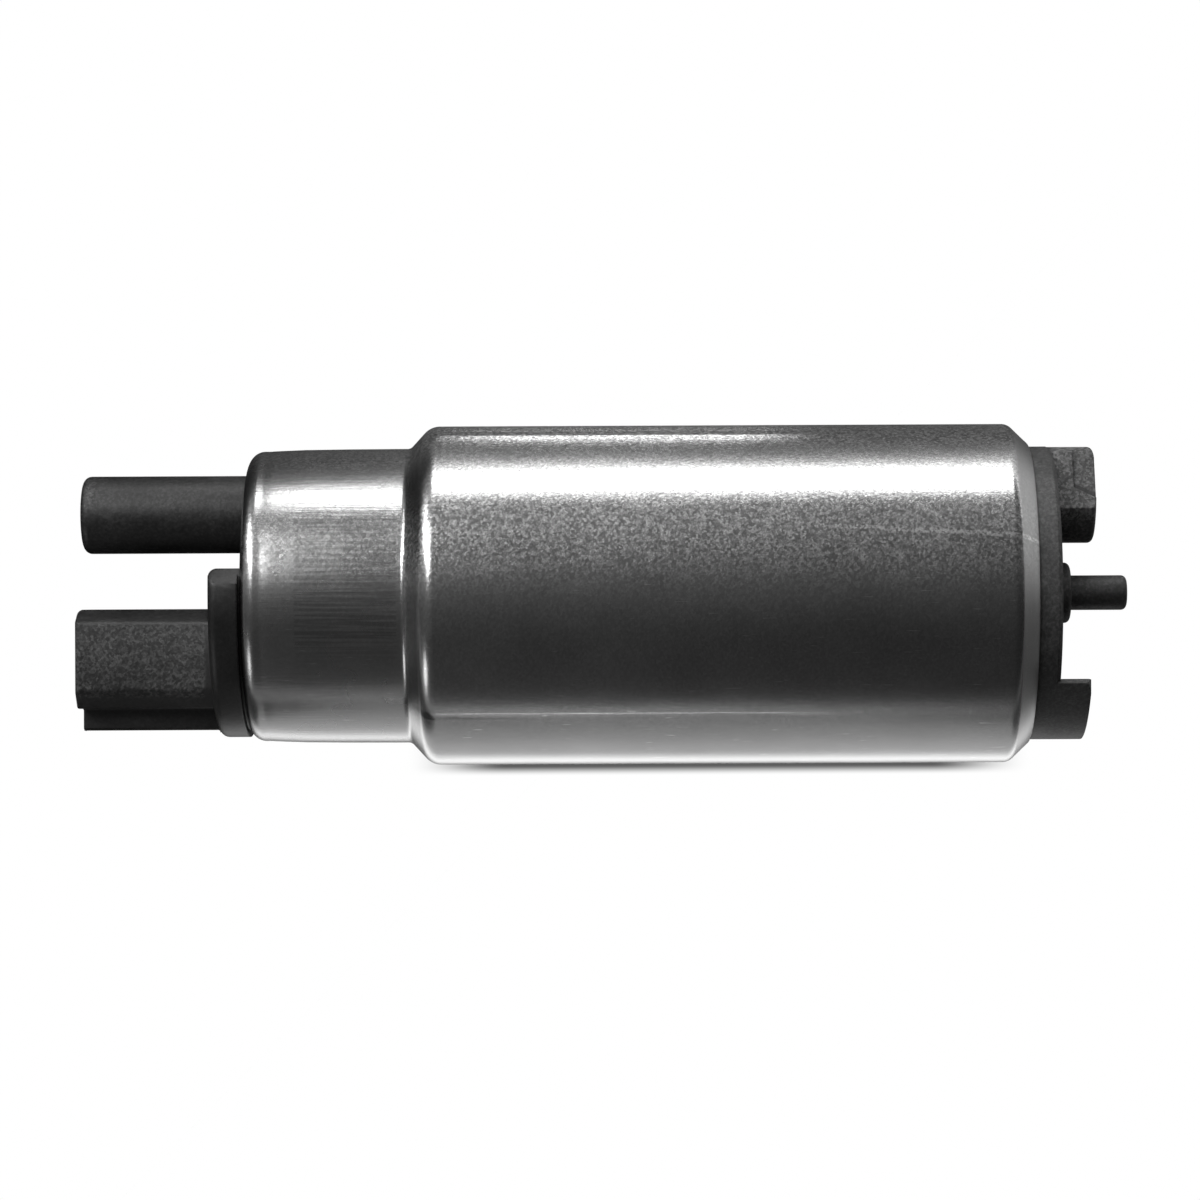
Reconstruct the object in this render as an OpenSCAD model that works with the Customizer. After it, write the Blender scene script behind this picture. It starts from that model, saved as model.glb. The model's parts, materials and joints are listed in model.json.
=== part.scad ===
// In-tank electric fuel pump: a turbine pump and its motor in one steel can.
// X runs along the pump axis towards the inlet end, Z is up as the pump lies on its side.
// The origin is on the axis at the middle of the barrel.

/* [Case] */
// Outer diameter of the barrel
case_d = 38; // [37:0.1:41]
// Wall of the steel can
case_wall = 1; // [0.8:0.05:1.15]
// Length of the barrel between its two bends
barrel_len = 63.4; // [62:0.1:72]
// Outer diameter of the neck
neck_d = 33; // [32:0.1:34]
// Length of the neck
neck_len = 18; // [17.6:0.1:20]
// Length of the shoulder between barrel and neck
shoulder_len = 3.3; // [3:0.1:3.8]
// Outer radius where the shoulder meets the barrel
shoulder_round = 2.3; // [1.8:0.1:2.5]
// How far the crimped edge closes in, at 45 degrees
crimp_depth = 2.5; // [2.2:0.1:2.8]
// Outer radius of the bend at the crimp
crimp_round = 1.2; // [1.2:0.1:1.6]
// Outer radius of the lip rolled over the outlet cover
lip_round = 1.3; // [1.2:0.1:1.4]
// How far the rolled lip reaches inwards
lip_reach = 1.5; // [1.45:0.05:2]

/* [Outlet cover] */
// Length of the plug inside the neck
plug_len = 9; // [8:0.1:10]
// How far the plateau's round edge stays inside the neck's outer face
plateau_inset = 0.7; // [0.4:0.1:1.2]
// Height of the plateau above the rolled lip
plateau_h = 3.4; // [2.5:0.1:5]
// Distance of the plateau's straight edge above the axis
plateau_top = 3.05; // [2:0.05:3.8]
// Rounding of the plateau's outer edge
plateau_round = 0.9; // [0.4:0.1:1.2]
// Chamfer at the two corners of the plateau's straight edge
plateau_chamfer = 1.4; // [0.6:0.1:2]
// Width of the groove for each cover seal
groove_w = 2; // [1.8:0.1:2.4]
// Section diameter of each cover seal
seal_d = 1.56; // [1.4:0.02:1.7]

/* [Outlet nipple] */
// Outer diameter of the nipple
nipple_d = 8.7; // [8.4:0.1:9]
// Reach of the nipple beyond the end of the neck
nipple_len = 18.8; // [17.5:0.1:24]
// Bore of the nipple
nipple_bore = 6.2; // [6:0.1:6.4]
// Distance of the nipple above the pump axis
nipple_offset = 9.2; // [9:0.1:9.8]
// Bore of the passage from the motor chamber to the valve
passage_d = 4.2; // [3.8:0.1:4.4]

/* [Connector] */
// Outer width of the connector housing
conn_w = 13; // [12:0.1:14]
// Outer height of the connector housing, without its key
conn_h = 11.05; // [10.6:0.05:11.6]
// Distance of the connector's upper face below the axis
conn_drop = 1.4; // [1:0.1:1.6]
// Reach of the connector beyond the plateau
conn_len = 15.7; // [14.5:0.1:19]
// Wall of the connector housing
conn_wall = 1.3; // [1:0.05:1.5]
// Depth of the connector's socket
socket_depth = 12; // [10:0.1:13]
// Width of the key under the connector
key_w = 4.6; // [3.5:0.1:6]
// Height of the key under the connector
key_h = 2.5; // [1.5:0.1:3]
// Width of each terminal blade
blade_w = 2.8; // [2.2:0.1:3.2]
// Thickness of each terminal blade
blade_t = 0.8; // [0.6:0.1:0.9]
// Spacing of the two terminal blades
blade_pitch = 5.8; // [5.4:0.1:6.2]
// Distance of the blades' tips behind the mouth of the socket
blade_inset = 2; // [1:0.1:3]

/* [Inlet cover] */
// Height of the cover's disc above the crimped edge
disc_h = 2.4; // [1.5:0.1:4]
// Thickness of the cover from the pump face to the crimped cone
cover_depth = 4.8; // [4.4:0.1:5.4]
// Outer diameter of the inlet boss
boss_d = 10.8; // [10.2:0.1:10.9]
// Height of the inlet boss above the disc
boss_h = 4.9; // [3:0.1:7]
// Distance of the inlet boss from the axis
boss_offset = 11; // [10.8:0.05:11.05]
// Bore of the inlet
inlet_bore = 7.2; // [6.6:0.1:7.6]
// Width of the notch in the boss's rim, at its root
notch_w = 2.4; // [1.6:0.1:2.8]
// Length of the notch in the boss's rim
notch_len = 2.4; // [1:0.1:2.8]
// Depth of the notch in the boss's wall
notch_depth = 1.1; // [0.5:0.1:1.2]
// Diameter of the collar round the centre post
collar_d = 6.8; // [6:0.1:8]
// Height of the collar
collar_h = 2.3; // [1:0.1:4]
// Diameter of the centre post
post_d = 3.9; // [3.5:0.1:4.4]
// Height of the centre post above the disc
post_h = 8.7; // [6:0.1:12]
// Height of the lug above the disc
lug_h = 3.4; // [2:0.1:6]
// Wall of the lug
lug_wall = 3; // [2:0.1:4]
// Angle that the lug covers round the axis
lug_angle = 106; // [60:1:130]
// Bore of the vapour vent
vent_d = 1; // [0.6:0.1:1.4]

/* [Turbine] */
// Diameter of the impeller
impeller_d = 30; // [29.6:0.1:30.6]
// Thickness of the impeller
impeller_t = 3.8; // [3.2:0.1:4.4]
// Number of vane pockets
vanes = 37; // [29:2:41]
// Width of each vane pocket
pocket_w = 1.2; // [0.9:0.05:1.3]
// Middle radius of the vane ring
vane_r = 12.9; // [12.8:0.05:13]
// Height of the vanes
vane_h = 2.6; // [2.2:0.1:2.8]
// Running clearance beside the impeller
side_gap = 0.05; // [0.03:0.01:0.1]
// Running clearance round the impeller
rim_gap = 0.1; // [0.06:0.01:0.2]
// Angle of the side channels
channel_angle = 300; // [280:5:310]
// Length of the die-cast pump housing behind the impeller
housing_depth = 9.4; // [8.6:0.1:11]

/* [Motor] */
// Wall of the flux ring
flux_wall = 1.65; // [1.4:0.05:1.8]
// Thickness of the magnets
magnet_t = 4.15; // [3.8:0.05:4.4]
// Angle that each magnet covers
magnet_angle = 130; // [110:1:140]
// Air gap between magnets and armature
air_gap = 0.5; // [0.4:0.05:0.8]
// How far the magnets reach past each end of the core
magnet_overhang = 2; // [0.5:0.1:2.4]
// Room between the winding and the pump housing
turns_room = 1.6; // [1:0.1:5]
// Number of armature slots and commutator bars
slots = 8; // [6:1:10]
// Width of each armature tooth
tooth_w = 3; // [2.4:0.1:3.2]
// Opening of each slot at the rim
slot_mouth = 1.4; // [1:0.1:2]
// Thickness of the tooth tips
tip_t = 1.3; // [1:0.1:1.6]
// Thickness of the end insulators
insulator_t = 0.6; // [0.4:0.1:1]
// Height of the winding's end turns
end_turn_h = 3; // [2:0.1:3.4]
// Shaft diameter
shaft_d = 4; // [3.6:0.1:4.2]
// Depth of the shaft's flat
flat_depth = 0.5; // [0.3:0.05:0.8]
// Running clearance of the shaft in its bushes
bush_gap = 0.03; // [0.015:0.005:0.06]
// Length of the bushes
bush_len = 6; // [5:0.1:6.6]
// Wall of the bushes
bush_wall = 1.2; // [0.9:0.05:1.3]

/* [Commutator and brushes] */
// How far the commutator's rim lies inside the bottom of the tooth tips
commutator_inset = 0.35; // [0.2:0.05:0.7]
// Thickness of the commutator bars
bar_t = 2; // [1.5:0.1:2.5]
// Gap between commutator bars
bar_gap = 0.5; // [0.3:0.1:0.8]
// Length of the commutator's hub behind the bars
hub_len = 3; // [2.5:0.1:3.5]
// Width of each brush, across the commutator
brush_w = 4.4; // [4:0.1:4.6]
// Height of each brush
brush_h = 5; // [4:0.1:5.4]
// Length of each new brush
brush_len = 8.5; // [7.5:0.1:9]
// Wall of the brush guides
guide_wall = 0.4; // [0.3:0.05:0.5]
// Sliding clearance of the brushes
brush_gap = 0.05; // [0.03:0.01:0.08]
// Wire of the brush springs
brush_wire = 0.36; // [0.3:0.02:0.44]
// Turns of the brush springs
brush_turns = 7; // [5:1:9]
// Diameter of the braided shunts
shunt_d = 0.9; // [0.6:0.1:1.2]
// Diameter of the choke cores
choke_d = 2.4; // [2:0.1:2.8]
// Wire of the choke windings
choke_wire = 0.6; // [0.4:0.05:0.7]
// Turns of the choke windings
choke_turns = 6; // [4:1:6]

/* [Check valve] */
// Throat under the valve seat
throat_d = 3.4; // [3:0.1:3.8]
// Diameter of the poppet's head
poppet_d = 5.2; // [5:0.1:5.4]
// Thickness of the poppet's head
poppet_t = 1; // [0.8:0.1:1.4]
// Thickness of the rubber washer
washer_t = 1; // [0.8:0.1:1.2]
// Diameter of the poppet's stem
stem_d = 1.6; // [1.4:0.1:1.8]
// Length of the valve spring
valve_spring_len = 5.5; // [4.8:0.1:6.5]
// Wire of the valve spring
valve_wire = 0.3; // [0.24:0.02:0.36]
// Turns of the valve spring
valve_turns = 5; // [4:1:6]
// Length of the spoked retainer
retainer_len = 2.5; // [2:0.1:3]

/* [Hidden] */
$fn = 64;

// Steps in each turn of a wound wire
coil_steps = 8;
// Clearance of a seated or pressed piece
snug = 0.02;
// Clearance of a seal in its groove
seal_gap = 0.04;
// Gap between moving pieces that rest face to face
touch_gap = 0.02;
// Reach of a cut past the face that it opens
over = 1;

// Colours
steel = [0.62, 0.62, 0.6];
black_plastic = [0.13, 0.13, 0.14];
grey_plastic = [0.34, 0.34, 0.33];
rubber_black = [0.07, 0.07, 0.07];
brass_yellow = [0.78, 0.64, 0.34];
copper_red = [0.72, 0.42, 0.26];
carbon_black = [0.16, 0.16, 0.17];
bronze = [0.62, 0.47, 0.3];
ferrite = [0.2, 0.2, 0.22];
die_cast = [0.66, 0.66, 0.68];
resin = [0.42, 0.2, 0.1];

// Radii of the can
barrel_r = case_d / 2;
bore_r = barrel_r - case_wall;
neck_r = neck_d / 2;
neck_bore_r = neck_r - case_wall;
lip_r = neck_r - lip_reach;
crimp_r = barrel_r - crimp_depth;

// Places along the can
x_barrel0 = -barrel_len / 2;
x_barrel1 = barrel_len / 2;
x_shoulder = x_barrel0 - shoulder_len;
x_neck_end = x_shoulder - neck_len;
x_crimp_end = x_barrel1 + crimp_depth;
crimp_tangent = crimp_round * tan(22.5);

// Shoulder cone: the tangent from the foot of the neck to the rounded edge of the barrel
round_rise = barrel_r - shoulder_round - neck_r;
round_dist = norm([shoulder_len, round_rise]);
shoulder_angle = atan2(round_rise, shoulder_len) + asin(shoulder_round / round_dist);

// Inside of the crimped cone, as x plus r
crimp_sum = x_barrel1 + barrel_r - case_wall * sqrt(2);

// Pump section, counted back from the crimp
flange_r = bore_r - snug;
disc_r = crimp_r - 2 * snug;
x_flange1 = crimp_sum - flange_r - 2 * snug;
x_pump_face = x_flange1 - cover_depth;
x_disc = x_crimp_end + disc_h;
x_impeller1 = x_pump_face - side_gap;
x_impeller0 = x_impeller1 - impeller_t;
x_chamber = x_impeller0 - side_gap;
x_housing0 = x_chamber - housing_depth;
impeller_r = impeller_d / 2;
chamber_r = impeller_r + rim_gap;
housing_floor = 4.6;
housing_wall = 2.4;
shaft_room = 0.25;
channel_r = vane_h / 2;
port_inset = 0.15;
port_r = channel_r - port_inset;
vane_lean = 0.45;
balance_r = 0.9;
balance_place = impeller_r * 0.45;

// Brush holder, seated on the inside of the shoulder
holder_flange_t = 1.4;
holder_overlap = 0.45;
holder_flange_r = (neck_bore_r + bore_r) / 2 + holder_overlap;
holder_rim_t = 1.4;
x_holder_cone = inner_cone_x(holder_flange_r) + 2 * snug;
x_ring0 = x_holder_cone + holder_flange_t;
x_plug0 = x_neck_end + case_wall + snug;
x_plug1 = x_plug0 + plug_len;
plug_r = neck_bore_r - snug;

// Motor, counted from the brush holder
shaft_r = shaft_d / 2;
bush_r = shaft_r + bush_gap + bush_wall;
commutator_room = 0.4;
hub_room = 0.5;
x_commutator = x_ring0 + commutator_room;
x_turns0 = x_commutator + bar_t + hub_len + hub_room;
x_core0 = x_turns0 + end_turn_h + insulator_t;
x_turns1 = x_housing0 - turns_room;
x_core1 = x_turns1 - end_turn_h - insulator_t;
flux_r = flange_r - flux_wall;
magnet_r = flux_r - snug;
magnet_bore_r = magnet_r - magnet_t;
core_r = magnet_bore_r - air_gap;
x_magnet0 = x_core0 - magnet_overhang;
x_magnet1 = x_core1 + magnet_overhang;
root_share = 0.48;
slot_root_r = core_r * root_share;
slot_top_r = core_r - tip_t;
clip_t = 0.6;
clip_leg = 2.4;
clip_inset = 2;
winding_gap = 0.1;
winding_cover = 0.8;
winding_round = 1;
insulator_inset = 0.2;
hub_wall = 2;
hub_r = shaft_r + hub_wall;
hub_sunk = 0.3;
commutator_r = slot_top_r - commutator_inset;

// Bearings and the shaft's ends
bearing_wall = 1;
bearing_boss_r = bush_r + bearing_wall;
bush_floor = 2.3;
bush_sunk = 0.2;
shaft_sunk = 0.4;
shaft_reach = 2.8;
x_bush0 = x_plug1 + bush_floor;
x_bush1 = x_bush0 + bush_len;
x_boss_end = x_bush1 + bush_sunk;
x_shaft0 = x_bush0 + shaft_sunk;
x_pump_bush1 = x_chamber - shaft_sunk;
x_pump_bush0 = x_pump_bush1 - bush_len;
x_shaft1 = x_pump_face + shaft_reach;
thrust_gap = 0.08;
thrust_t = 1.6;
thrust_edge = 0.4;
thrust_r = shaft_r + thrust_edge;
x_thrust1 = x_shaft1 + thrust_gap + thrust_t;

// Brushes and their guides
guide_y = brush_h / 2 + brush_gap + guide_wall;
guide_z = brush_w / 2 + brush_gap + guide_wall;
brush_show = 2.6;
brush_offset = (hub_r + commutator_r) / 2;
brush_spring_room = 9.4;
brush_spring_r = 1.6;
x_guide1 = x_commutator - brush_show;
x_brush_back = x_commutator - brush_len;
x_spring0 = x_brush_back - brush_spring_room;
x_guide0 = x_spring0 - guide_wall;

// Chokes and terminals
choke_y = -7.4;
choke_z = 8.7;
choke_r = choke_d / 2;
choke_coil_r = (choke_r + snug) / cos(180 / coil_steps) + choke_wire / 2;
choke_room = 0.3;
choke_pocket_r = choke_coil_r + choke_wire / 2 + choke_room;
choke_len = 5.4;
foot_t = 0.8;
x_foot0 = x_plug1 + snug;
x_foot1 = x_foot0 + foot_t;
x_choke1 = x_foot1 + choke_len;
tab_t = 0.4;
guide_boss_t = 0.8;
guide_show = 0.5;
blade_y = -7;
blade_z = blade_pitch / 2;

// Plateau and connector
plateau_gap = 0.15;
x_plateau1 = x_neck_end - plateau_gap;
x_plateau0 = x_neck_end - plateau_h;
plateau_r = neck_r - plateau_inset;
x_conn0 = x_plateau0 - conn_len;
x_socket1 = x_conn0 + socket_depth;
waist_r = lip_r - snug;
conn_chamfer_z = 2.7;
conn_chamfer_y = 1.45;
conn_low_z = 1.9;
conn_low_y = 2.05;
end_round = 0.6;
mitre = 0.4;
key_inset = 0.4;

// Nipple and check valve
nipple_r = nipple_d / 2;
nipple_bore_r = nipple_bore / 2;
cap_sunk = 0.2;
x_cap = x_neck_end + cap_sunk;
nipple_round = 0.9;
x_nipple0 = x_neck_end - nipple_len;
seat_reach = 1.6;
x_seat = x_neck_end - seat_reach;
throat_len = 2;
x_throat1 = x_seat + throat_len;
nose_gap = 0.3;
nose_reach = 1.2;
stem_reach = 1.4;
x_washer0 = x_seat - touch_gap - washer_t;
x_head0 = x_washer0 - poppet_t;
x_retainer1 = x_head0 - valve_spring_len;
x_retainer0 = x_retainer1 - retainer_len;
stem_r = stem_d / 2;
valve_spring_r = (poppet_d / 2 + stem_r) / 2;
nose_r = throat_d / 2 - nose_gap;
stem_gap = 0.06;
spoke_w = 0.8;
spokes = 3;
cage_wall = 0.5;
cage_hub_wall = 0.7;

// Inlet cover
boss_r = boss_d / 2;
inlet_r = inlet_bore / 2;
post_r = post_d / 2;
collar_r = collar_d / 2;
x_boss = x_disc + boss_h;
x_post = x_disc + post_h;
x_lug = x_disc + lug_h;
inlet_floor_t = 3.2;
x_inlet_floor = x_pump_face + inlet_floor_t;
vent_angle = 115;
port_angle = 24;
notch_angle = 62;
notch_corner = 0.56;
notch_flare = 0.45;
disc_edge = 0.4;
lug_round = 1;

// Seal grooves
outlet_groove_in = 3;
inlet_groove_in = 1.2;
x_outlet_groove0 = x_plug0 + outlet_groove_in;
x_inlet_groove0 = x_pump_face + inlet_groove_in;

// The bottom of a seal's groove under a bore
function seal_groove_r(bore) = bore - seal_d - 2 * seal_gap;

// The x at which the inside of the shoulder cone has a radius
function inner_cone_x(r) = x_shoulder + case_wall * sin(shoulder_angle)
    + (r - neck_r + case_wall * cos(shoulder_angle)) / tan(shoulder_angle);

// Points of an arc in a profile, each as radius and place along the axis
function arc_points(r, x, radius, from, to, steps = 6) = [
    for (i = [0:steps])
        let (a = from + (to - from) * i / steps)
            [r + radius * sin(a), x + radius * cos(a)]
];

// A profile of radius and x turned about the pump axis
module turned() {
    rotate([0, 90, 0])
        rotate_extrude()
            children();
}

// The same over part of a turn, counted from +Y towards +Z
module turned_part(from, sweep) {
    rotate([from + 90, 0, 0])
        rotate([0, 90, 0])
            rotate_extrude(angle = sweep)
                children();
}

// A round bar along X
module rod(x0, x1, r, y = 0, z = 0) {
    translate([x0, y, z])
        rotate([0, 90, 0])
            cylinder(h = x1 - x0, r = r);
}

// A hollow round bar along X
module pipe(x0, x1, r, bore, y = 0, z = 0) {
    difference() {
        rod(x0, x1, r, y, z);
        rod(x0 - over, x1 + over, bore, y, z);
    }
}

// A box between two corners
module block(low, high) {
    translate(low)
        cube(high - low);
}

// A section drawn in Y and Z, drawn out along X
module along(x0, x1) {
    translate([x0, 0, 0])
        rotate([90, 0, 90])
            linear_extrude(x1 - x0)
                children();
}

// A rectangle with round corners, from its low corner
module round_rect(w, h, r) {
    translate([r, 0])
        square([w - 2 * r, h]);
    translate([0, r])
        square([w, h - 2 * r]);
    for (x = [r, w - r], y = [r, h - r])
        translate([x, y])
            circle(r);
}

// A sector of a ring in Y and Z, centred on an angle counted from +Y towards +Z
module ring_sector(outer, inner, middle, sweep) {
    steps = 8;
    reach = outer * 1.3;
    intersection() {
        difference() {
            circle(outer);
            circle(inner);
        }
        polygon(concat([[0, 0]], [
            for (i = [0:steps])
                let (a = middle - sweep / 2 + sweep * i / steps)
                    [reach * cos(a), reach * sin(a)]
        ]));
    }
}

// A wire wound round the X axis as one unbroken tube
module coil(x0, x1, r, wire, turns, y = 0, z = 0) {
    sides = 6;
    rings = turns * coil_steps;
    wire_r = wire / 2;
    run = x1 - x0 - wire;
    points = [
        for (i = [0:rings], s = [0:sides - 1])
            let (
                a = 360 * i / coil_steps,
                b = 360 * s / sides,
                rr = r + wire_r * cos(b),
                x = x0 + wire_r + run * i / rings + wire_r * sin(b)
            )
                [x, y + rr * cos(a), z + rr * sin(a)]
    ];
    skin = [
        for (i = [0:rings - 1], s = [0:sides - 1], half = [0, 1])
            let (
                t = (s + 1) % sides,
                a = i * sides + s,
                b = i * sides + t,
                c = a + sides,
                d = b + sides
            )
                half == 0 ? [a, c, b] : [b, c, d]
    ];
    start_cap = [for (s = [1:sides - 2]) [0, s, s + 1]];
    end_cap = [
        for (s = [1:sides - 2])
            let (o = rings * sides)
                [o, o + s + 1, o + s]
    ];
    polyhedron(points = points, faces = concat(skin, start_cap, end_cap));
}

// Outline of the connector in Y and Z, drawn in by a wall
module connector_outline(inset) {
    top = -conn_drop - inset;
    low = -conn_drop - conn_h + inset;
    side = conn_w / 2 - inset;
    cut = inset * mitre;
    polygon([
        [top, side - conn_chamfer_z + cut],
        [top - conn_chamfer_y + cut, side],
        [low + conn_low_y - cut, side],
        [low, side - conn_low_z + cut],
        [low, -side + conn_low_z - cut],
        [low + conn_low_y - cut, -side],
        [top - conn_chamfer_y + cut, -side],
        [top, -side + conn_chamfer_z - cut]
    ]);
}

// Outline of the plateau in Y and Z: a disc with a straight upper edge
module plateau_outline(r) {
    corner_z = sqrt(plateau_r * plateau_r - plateau_top * plateau_top);
    cut_z = corner_z - plateau_chamfer;
    low_z = corner_z + plateau_chamfer;
    intersection() {
        circle(r);
        polygon([
            [plateau_top, cut_z],
            [plateau_top - 2 * plateau_chamfer, low_z],
            [-r - over, low_z],
            [-r - over, -low_z],
            [plateau_top - 2 * plateau_chamfer, -low_z],
            [plateau_top, -cut_z]
        ]);
    }
}

// Drawn steel can: neck, shoulder and barrel with both edges rolled over
module case() {
    a = shoulder_angle;
    lip_x = x_neck_end + lip_round;
    lip_centre_r = neck_r - lip_round;
    bend_x = x_barrel1 - crimp_tangent;
    bend_r = barrel_r - crimp_round;
    edge_r = barrel_r - shoulder_round;
    color(steel)
        turned()
            polygon(concat(
                [[lip_r, x_neck_end]],
                arc_points(lip_centre_r, lip_x, lip_round, 180, 90),
                [[neck_r, x_shoulder]],
                arc_points(edge_r, x_barrel0, shoulder_round, 90 + a, 90),
                arc_points(bend_r, bend_x, crimp_round, 90, 45),
                [[crimp_r, x_crimp_end], [crimp_r, crimp_sum - crimp_r]],
                arc_points(bend_r, bend_x, crimp_round - case_wall, 45, 90),
                arc_points(edge_r, x_barrel0, shoulder_round - case_wall, 90, 90 + a),
                [[neck_bore_r, inner_cone_x(neck_bore_r)]],
                arc_points(lip_centre_r, lip_x, lip_round - case_wall, 90, 180),
                [[lip_r, x_neck_end + case_wall]]
            ));
}

// The plug inside the neck, with its seal groove
module cover_plug() {
    turned()
        polygon([
            [0, x_cap],
            [waist_r, x_cap],
            [waist_r, x_plug0],
            [neck_r - lip_round - snug, x_plug0],
            [plug_r, x_neck_end + lip_round + snug],
            [plug_r, x_outlet_groove0],
            [seal_groove_r(neck_bore_r), x_outlet_groove0],
            [seal_groove_r(neck_bore_r), x_outlet_groove0 + groove_w],
            [plug_r, x_outlet_groove0 + groove_w],
            [plug_r, x_plug1],
            [0, x_plug1]
        ]);
}

// The raised half disc that stands over the rolled lip
module plateau() {
    along(x_plateau1, x_plug0)
        plateau_outline(waist_r);
    intersection() {
        along(x_plateau0, x_plateau1)
            plateau_outline(plateau_r);
        turned()
            polygon(concat(
                [[0, x_plateau0]],
                arc_points(plateau_r - plateau_round, x_plateau0 + plateau_round, plateau_round, 180, 90),
                [[plateau_r, x_plug0], [0, x_plug0]]
            ));
        translate([x_plateau0, -plateau_r - over, -plateau_r])
            linear_extrude(2 * plateau_r)
                round_rect(2 * plateau_h, plateau_r + over + plateau_top, plateau_round);
    }
}

// The hose nipple
module nipple() {
    translate([0, nipple_offset, 0])
        turned()
            polygon(concat(
                [[0, x_plug0], [nipple_r, x_plug0]],
                arc_points(nipple_r - nipple_round, x_nipple0 + nipple_round, nipple_round, 90, 180),
                [[0, x_nipple0]]
            ));
}

// The connector housing and its key, with rounded ends
module connector() {
    key_low = -conn_drop - conn_h - key_h;
    intersection() {
        union() {
            along(x_conn0, x_plateau0 + over)
                connector_outline(0);
            block(
                [x_conn0 + key_inset, key_low, -key_w / 2],
                [x_plateau1, -conn_drop - conn_wall, key_w / 2]
            );
        }
        translate([x_conn0, key_low, -conn_w])
            linear_extrude(2 * conn_w)
                round_rect(2 * conn_len, conn_h + key_h, end_round);
        translate([x_conn0, conn_h, -conn_w / 2])
            rotate([90, 0, 0])
                linear_extrude(4 * conn_h)
                    round_rect(2 * conn_len, conn_w, end_round);
    }
}

// Moulded outlet cover: plug, plateau, hose nipple and connector housing in one piece
module outlet_cover() {
    color(black_plastic)
        difference() {
            union() {
                cover_plug();
                plateau();
                nipple();
                connector();
            }
            rod(x_nipple0 - over, x_seat, nipple_bore_r, y = nipple_offset);
            rod(x_seat - over, x_throat1 + over, throat_d / 2, y = nipple_offset);
            rod(x_throat1, x_plug1 + over, passage_d / 2, y = nipple_offset);
            along(x_conn0 - over, x_socket1)
                connector_outline(conn_wall);
            for (side = [1, -1]) {
                terminal_blade(side, snug);
                guide_space(side, x_plug1 + over);
            }
        }
}

// The space that a brush guide takes, from its closed end to a given place
module guide_space(side, x1) {
    y = guide_y + snug;
    z = guide_z + snug;
    translate([0, 0, side * brush_offset])
        block([x_guide0 - snug, -y, -z], [x1, y, z]);
}

// Moulded brush holder: carries the outlet bearing, the brush guides and the chokes
module brush_holder() {
    x0 = x_plug1 + snug;
    boss_y = guide_y + guide_boss_t;
    boss_z = guide_z + guide_boss_t;
    color(grey_plastic)
        difference() {
            union() {
                turned()
                    polygon([
                        [0, x0],
                        [plug_r, x0],
                        [plug_r, inner_cone_x(plug_r) + 2 * snug],
                        [holder_flange_r, x_holder_cone],
                        [holder_flange_r, x_ring0],
                        [plug_r - holder_rim_t, x_ring0],
                        [plug_r - holder_rim_t, x_choke1],
                        [0, x_choke1]
                    ]);
                rod(x0, x_boss_end, bearing_boss_r);
                for (side = [1, -1])
                    translate([0, 0, side * brush_offset])
                        block([x0, -boss_y, -boss_z], [x_guide1 - guide_show, boss_y, boss_z]);
            }
            rod(x_bush0, x_boss_end + over, bush_r + snug);
            rod(x0 - over, x_choke1 + over, passage_d / 2, y = nipple_offset);
            for (side = [1, -1]) {
                guide_space(side, x_guide1 + over);
                terminal_foot(side, snug);
                guide_tab(side, snug);
                rod(x0, x_choke1 + over, choke_pocket_r, y = choke_y, z = side * choke_z);
            }
        }
}

// Blade of a terminal, grown by a clearance for the slot that it fills
module terminal_blade(side, grow = 0) {
    y = blade_w / 2 + grow;
    z = blade_t / 2 + grow;
    x0 = x_conn0 + blade_inset;
    x1 = grow == 0 ? x_foot1 : x_plug1 + over;
    translate([0, blade_y, side * blade_z])
        block([x0, -y, -z], [x1, y, z]);
}

// Foot of a terminal, which runs across to the choke
module terminal_foot(side, grow = 0) {
    y = blade_w / 2 + grow;
    z0 = blade_z - blade_t / 2 - grow;
    z1 = choke_z + choke_r + grow;
    mirror([0, 0, side > 0 ? 0 : 1])
        translate([0, blade_y, 0])
            block([x_foot0 - grow, -y, z0], [x_foot1 + grow, y, z1]);
}

// Connector blade with its foot
module terminal(side) {
    color(brass_yellow)
        union() {
            terminal_blade(side);
            terminal_foot(side);
        }
}

// Ferrite rod of a choke
module choke_core(side) {
    color(ferrite)
        rod(x_foot1 + snug, x_choke1, choke_r, y = choke_y, z = side * choke_z);
}

// Winding of a choke
module choke_coil(side) {
    color(copper_red)
        coil(x_foot1 + snug, x_choke1, choke_coil_r, choke_wire, choke_turns, choke_y, side * choke_z);
}

// Tab of a brush guide, which runs to the end of the choke
module guide_tab(side, grow = 0) {
    x0 = x_choke1 + snug - grow;
    y0 = choke_y - choke_r - grow;
    z0 = choke_z - choke_r - grow;
    z1 = brush_offset + guide_z + grow;
    mirror([0, 0, side > 0 ? 0 : 1])
        block([x0, y0, z0], [x0 + tab_t + 2 * grow, -brush_h / 2 - brush_gap, z1]);
}

// Brass tube that guides a brush, closed behind its spring
module brush_guide(side) {
    y = brush_h / 2 + brush_gap;
    z = brush_w / 2 + brush_gap;
    color(brass_yellow)
        difference() {
            union() {
                translate([0, 0, side * brush_offset])
                    block([x_guide0, -guide_y, -guide_z], [x_guide1, guide_y, guide_z]);
                guide_tab(side);
            }
            translate([0, 0, side * brush_offset])
                block([x_spring0, -y, -z], [x_guide1 + over, y, z]);
        }
}

// Carbon brush
module brush(side) {
    color(carbon_black)
        translate([0, 0, side * brush_offset])
            block(
                [x_brush_back, -brush_h / 2, -brush_w / 2],
                [x_commutator - touch_gap, brush_h / 2, brush_w / 2]
            );
}

// Spring behind a brush
module brush_spring(side) {
    color(steel)
        coil(x_spring0, x_brush_back, brush_spring_r, brush_wire, brush_turns, 0, side * brush_offset);
}

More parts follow.
